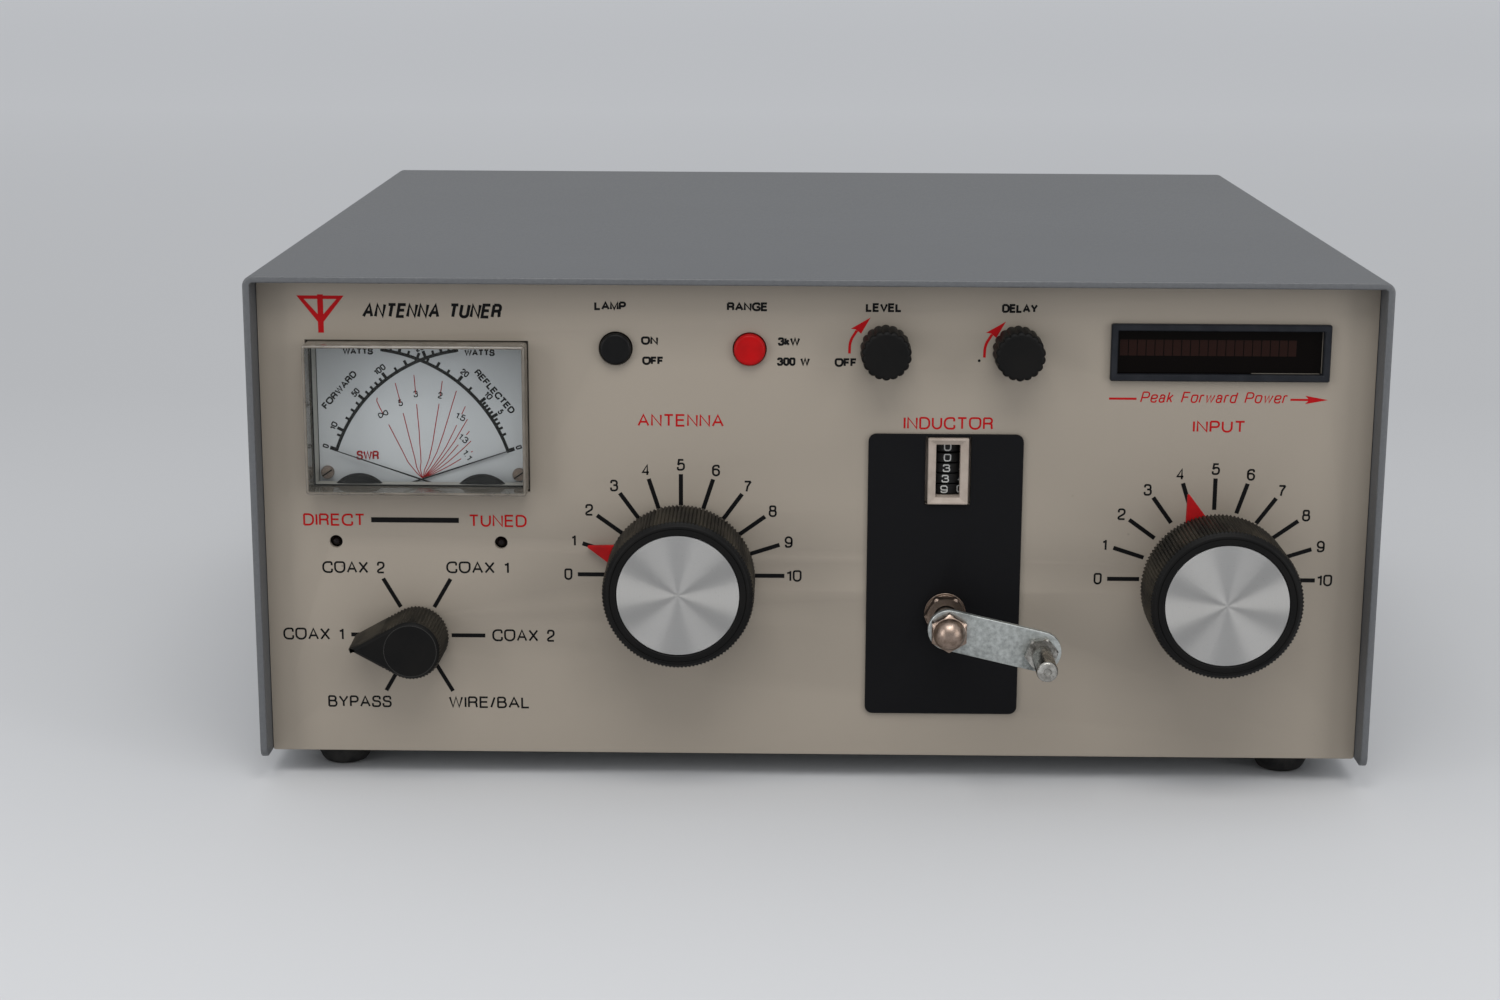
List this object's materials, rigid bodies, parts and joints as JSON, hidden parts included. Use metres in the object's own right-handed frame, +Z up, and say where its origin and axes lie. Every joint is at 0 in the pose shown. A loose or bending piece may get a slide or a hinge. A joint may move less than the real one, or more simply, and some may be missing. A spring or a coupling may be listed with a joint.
{
  "type": "antenna tuner",
  "caption": "Desktop antenna tuner: steel case with two capacitor dials, a roller inductor crank with a turns counter, a crossed-needle meter and an output selector.",
  "frame": {"origin": "centre of the tuner's box on the surface that its feet stand on", "axes": "+Z up, the front panel faces -Y, +X to the right as seen from the front"},
  "size_m": [0.3174, 0.3416, 0.1472],
  "materials": {
    "grey_paint": "fine textured dark grey paint",
    "beige_paint": "smooth warm grey paint with printed markings",
    "bare_steel": "bare or plated steel",
    "zinc": "dull zinc plate, lightly speckled",
    "aluminium": "spun or sheared aluminium",
    "brass": "dull nickel plated brass",
    "black_plastic": "matte black plastic",
    "black_paint": "matte black paint",
    "red_plastic": "red plastic",
    "clear_plastic": "clear acrylic",
    "white_print": "printed white dial",
    "dark_lens": "dark red lens",
    "rubber": "black rubber",
    "ceramic": "white steatite",
    "ferrite": "dark ferrite ring",
    "board": "green circuit board"
  },
  "bodies": {
    "case": {"cover": "grey_paint", "chassis": "bare_steel", "front_panel": "beige_paint", "foot_front_left": "rubber", "foot_rear_left": "rubber", "foot_front_right": "rubber", "foot_rear_right": "rubber", "meter_case": "clear_plastic", "meter_dial": "white_print", "meter_body": "black_plastic", "display_bezel": "black_plastic", "display_module": "dark_lens", "direct_led": "dark_lens", "tuned_led": "dark_lens", "lamp_switch": "black_plastic", "range_switch": "black_plastic", "circuit_board": "board", "level_pot": "bare_steel", "delay_pot": "bare_steel", "selector_switch": "ceramic", "antenna_stator": "aluminium", "input_stator": "aluminium", "inductor_plate": "black_paint", "crank_bushing": "brass", "coil_frame": "ceramic", "counter_housing": "beige_paint", "counter_ten_thousands": "black_plastic", "counter_thousands": "black_plastic", "coax_socket_transmitter": "bare_steel", "coax_socket_1": "bare_steel", "coax_socket_2": "bare_steel", "line_insulator_left": "ceramic", "line_insulator_right": "ceramic", "ground_post": "brass", "balun": "ferrite"},
    "forward_needle": {"forward_needle": "black_plastic"},
    "reflected_needle": {"reflected_needle": "black_plastic"},
    "lamp_button": {"lamp_button": "black_plastic"},
    "range_button": {"range_button": "red_plastic"},
    "level_knob": {"level_knob": "black_plastic"},
    "delay_knob": {"delay_knob": "black_plastic"},
    "selector": {"selector_knob": "black_plastic", "selector_shaft": "bare_steel"},
    "antenna_capacitor": {"antenna_knob": "black_plastic", "antenna_pointer": "red_plastic", "antenna_rotor": "aluminium"},
    "input_capacitor": {"input_knob": "black_plastic", "input_pointer": "red_plastic", "input_rotor": "aluminium"},
    "crank": {"crank_arm": "zinc", "crank_nut": "bare_steel", "crank_handle": "bare_steel", "coil_form": "ceramic", "coil_winding": "zinc"},
    "counter_units": {"counter_shaft": "bare_steel", "counter_units": "black_plastic"},
    "counter_tens": {"counter_tens": "black_plastic"},
    "counter_hundreds": {"counter_hundreds": "black_plastic"},
    "roller_carriage": {"roller_hub": "brass"},
    "roller_wheel": {"roller_wheel": "brass"}
  },
  "joints": [
    {"name": "forward_needle_swing", "type": "hinge", "parent": "case", "child": "forward_needle", "pos_m": [-0.0957, -0.12675, 0.0815], "axis": [0, 1, 0], "range_deg": [0, 65], "stiffness_Nm_per_rad": 0.000005},
    {"name": "reflected_needle_swing", "type": "hinge", "parent": "case", "child": "reflected_needle", "pos_m": [-0.1283, -0.12675, 0.0815], "axis": [0, 1, 0], "range_deg": [-65, 0], "stiffness_Nm_per_rad": 0.000005},
    {"name": "lamp_button_press", "type": "slide", "parent": "case", "child": "lamp_button", "axis": [0, 1, 0], "range_m": [0, 0.0025], "stiffness_N_per_m": 400},
    {"name": "range_button_press", "type": "slide", "parent": "case", "child": "range_button", "axis": [0, 1, 0], "range_m": [0, 0.0025], "stiffness_N_per_m": 400},
    {"name": "level_turn", "type": "hinge", "parent": "case", "child": "level_knob", "pos_m": [0.0193, -0.13175, 0.1265], "axis": [0, 1, 0], "range_deg": [-20, 280]},
    {"name": "delay_turn", "type": "hinge", "parent": "case", "child": "delay_knob", "pos_m": [0.0562, -0.13175, 0.1265], "axis": [0, 1, 0], "range_deg": [-150, 150]},
    {"name": "selector_turn", "type": "hinge", "parent": "case", "child": "selector", "pos_m": [-0.1135, -0.13175, 0.0424], "axis": [0, 1, 0], "range_deg": [-60, 240]},
    {"name": "antenna_turn", "type": "hinge", "parent": "case", "child": "antenna_capacitor", "pos_m": [-0.0379, -0.13175, 0.0608], "axis": [0, 1, 0], "range_deg": [-18, 162]},
    {"name": "input_turn", "type": "hinge", "parent": "case", "child": "input_capacitor", "pos_m": [0.113, -0.13175, 0.0607], "axis": [0, 1, 0], "range_deg": [-72, 108]},
    {"name": "crank_turn", "type": "hinge", "parent": "case", "child": "crank", "pos_m": [0.0375, -0.13175, 0.0505], "axis": [0, 1, 0], "range_deg": [-12204, 216]},
    {"name": "counter_units_turn", "type": "hinge", "parent": "case", "child": "counter_units", "pos_m": [0.0375, -0.12155, 0.092], "axis": [0, 0, 1], "range_deg": [-216, 12204]},
    {"name": "counter_tens_turn", "type": "hinge", "parent": "case", "child": "counter_tens", "pos_m": [0.0375, -0.12155, 0.092], "axis": [0, 0, 1], "range_deg": [-21.6, 1220.4]},
    {"name": "counter_hundreds_turn", "type": "hinge", "parent": "case", "child": "counter_hundreds", "pos_m": [0.0375, -0.12155, 0.092], "axis": [0, 0, 1], "range_deg": [-2.16, 122.04]},
    {"name": "roller_travel", "type": "slide", "parent": "case", "child": "roller_carriage", "axis": [0, 1, 0], "range_m": [-0.11187, 0.00198]},
    {"name": "roller_spin", "type": "hinge", "parent": "roller_carriage", "child": "roller_wheel", "pos_m": [0.01325, 0.02612, 0.07475], "axis": [0, 1, 0], "range_deg": [-702, 39663]}
  ],
  "couplings": [
    {"joint": "counter_units_turn", "follows": "crank_turn", "ratio": -1},
    {"joint": "counter_tens_turn", "follows": "crank_turn", "ratio": -0.1},
    {"joint": "counter_hundreds_turn", "follows": "crank_turn", "ratio": -0.01},
    {"joint": "roller_travel", "follows": "crank_turn", "m_per_rad": 0.00052521},
    {"joint": "roller_spin", "follows": "crank_turn", "ratio": -3.25}
  ]
}
